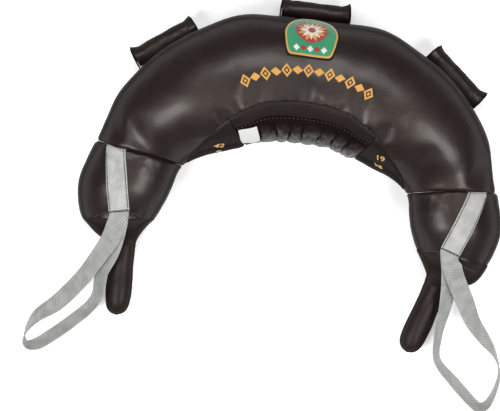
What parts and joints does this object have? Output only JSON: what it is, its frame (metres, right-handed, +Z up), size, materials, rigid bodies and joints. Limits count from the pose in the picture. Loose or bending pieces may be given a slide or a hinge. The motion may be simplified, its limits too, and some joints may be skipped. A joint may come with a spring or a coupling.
{
  "type": "bulgarian bag",
  "caption": "Padded leather crescent training weight with a gathered inner gusset, end grips, webbing loops and rolled handles on its outer arc.",
  "frame": {"origin": "on the ground below the middle of the bounding box, with the bag lying on its back", "axes": "+X from the left end to the right end, +Y toward the crown of the crescent and its top handle, +Z up out of the front face"},
  "size_m": [0.7474, 0.607, 0.1623],
  "materials": {
    "leather": "smooth dark brown-black, half gloss",
    "inner_leather": "soft gathered dark leather",
    "webbing": "ribbed grey webbing, matte",
    "strip": "pebbled grey strip with edge stitching",
    "wool": "packed wool",
    "canvas": "plain canvas sack, filled with sand",
    "patch": "embroidered patch",
    "tab": "blank woven tab"
  },
  "bodies": {
    "bag_body": {"centre_panel": "leather", "left_end_panel": "leather", "right_end_panel": "leather", "left_neck": "leather", "right_neck": "leather", "gusset_centre": "inner_leather", "gusset_front_band": "inner_leather", "gusset_back_band": "inner_leather", "left_gusset_end": "inner_leather", "right_gusset_end": "inner_leather", "wool_sleeve": "wool", "left_end_wadding": "wool", "right_end_wadding": "wool", "left_neck_wadding": "wool", "right_neck_wadding": "wool", "left_sand_sack": "canvas", "centre_sand_sack": "canvas", "right_sand_sack": "canvas", "left_end_sack": "canvas", "right_end_sack": "canvas", "left_strap_root": "webbing", "right_strap_root": "webbing", "left_strap_cover": "strip", "right_strap_cover": "strip", "left_handle_left_flap": "leather", "left_handle_right_flap": "leather", "top_handle_left_flap": "leather", "top_handle_right_flap": "leather", "right_handle_left_flap": "leather", "right_handle_right_flap": "leather", "badge": "patch", "label": "tab"},
    "left_grip": {"left_grip_cover": "leather", "left_grip_core": "wool"},
    "right_grip": {"right_grip_cover": "leather", "right_grip_core": "wool"},
    "left_loop": {"left_strap": "webbing"},
    "right_loop": {"right_strap": "webbing"},
    "left_handle": {"left_handle_cover": "leather", "left_handle_core": "wool"},
    "top_handle": {"top_handle_cover": "leather", "top_handle_core": "wool"},
    "right_handle": {"right_handle_cover": "leather", "right_handle_core": "wool"}
  },
  "joints": [
    {"name": "left_loop_swing", "type": "hinge", "parent": "bag_body", "child": "left_loop", "pos_m": [-0.24285, -0.05877, 0.11099], "axis": [-0.9835, -0.181, 0], "range_deg": [0, 105]},
    {"name": "right_loop_swing", "type": "hinge", "parent": "bag_body", "child": "right_loop", "pos_m": [0.26638, -0.06123, 0.10883], "axis": [-0.9124, 0.4094, 0], "range_deg": [0, 105]},
    {"name": "left_grip_bend", "type": "hinge", "parent": "bag_body", "child": "left_grip", "pos_m": [-0.23465, -0.10874, 0.0184], "axis": [0, 0, 1], "range_deg": [-4, 25], "stiffness_Nm_per_rad": 0.8, "deforming": ["left_neck"]},
    {"name": "right_grip_bend", "type": "hinge", "parent": "bag_body", "child": "right_grip", "pos_m": [0.25748, -0.11768, 0.0184], "axis": [0, 0, 1], "range_deg": [-25, 4], "stiffness_Nm_per_rad": 0.8, "deforming": ["right_neck"]},
    {"name": "left_handle_lift", "type": "slide", "parent": "bag_body", "child": "left_handle", "axis": [-0.5906, 0.807, 0], "range_m": [0, 0.008], "stiffness_N_per_m": 500, "deforming": ["left_handle_left_flap", "left_handle_right_flap"]},
    {"name": "top_handle_lift", "type": "slide", "parent": "bag_body", "child": "top_handle", "axis": [0, 1, 0], "range_m": [0, 0.008], "stiffness_N_per_m": 500, "deforming": ["top_handle_left_flap", "top_handle_right_flap"]},
    {"name": "right_handle_lift", "type": "slide", "parent": "bag_body", "child": "right_handle", "axis": [0.6494, 0.7604, 0], "range_m": [0, 0.008], "stiffness_N_per_m": 500, "deforming": ["right_handle_left_flap", "right_handle_right_flap"]}
  ]
}
